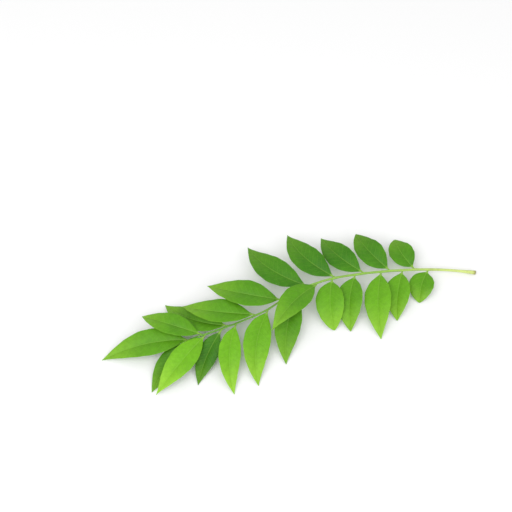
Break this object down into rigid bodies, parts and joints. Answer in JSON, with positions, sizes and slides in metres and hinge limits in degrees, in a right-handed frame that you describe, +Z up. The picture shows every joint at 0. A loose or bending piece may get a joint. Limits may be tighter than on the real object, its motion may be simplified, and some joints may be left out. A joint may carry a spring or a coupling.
{
  "type": "curry leaf sprig",
  "caption": "Cut curry leaf sprig lying flat: a thin arched green stalk with pointed leaflets set alternately on both sides and one at the tip.",
  "frame": {"origin": "bottom centre of the whole sprig's bounding box, on the surface that it lies on", "axes": "+X from the last leaflet towards the cut end of the stalk, +Y across the sprig to its far side, +Z up"},
  "size_m": [0.2424, 0.0968, 0.0197],
  "materials": {
    "leaf_mature": "satin",
    "leaf_young": "satin",
    "stalk": "satin"
  },
  "bodies": {
    "root": {"rachis": "stalk", "leaflet_left_01": "leaf_mature", "leaflet_left_02": "leaf_mature", "leaflet_left_03": "leaf_mature", "leaflet_left_04": "leaf_mature", "leaflet_left_05": "leaf_mature", "leaflet_left_06": "leaf_mature", "leaflet_left_07": "leaf_mature", "leaflet_left_08": "leaf_young", "leaflet_left_09": "leaf_young", "leaflet_left_10": "leaf_mature", "leaflet_left_11": "leaf_young", "leaflet_left_12": "leaf_mature", "leaflet_right_01": "leaf_mature", "leaflet_right_02": "leaf_mature", "leaflet_right_03": "leaf_mature", "leaflet_right_04": "leaf_mature", "leaflet_right_05": "leaf_mature", "leaflet_right_06": "leaf_mature", "leaflet_right_07": "leaf_mature", "leaflet_right_08": "leaf_mature", "leaflet_right_09": "leaf_mature", "leaflet_terminal": "leaf_young"}
  },
  "joints": []
}
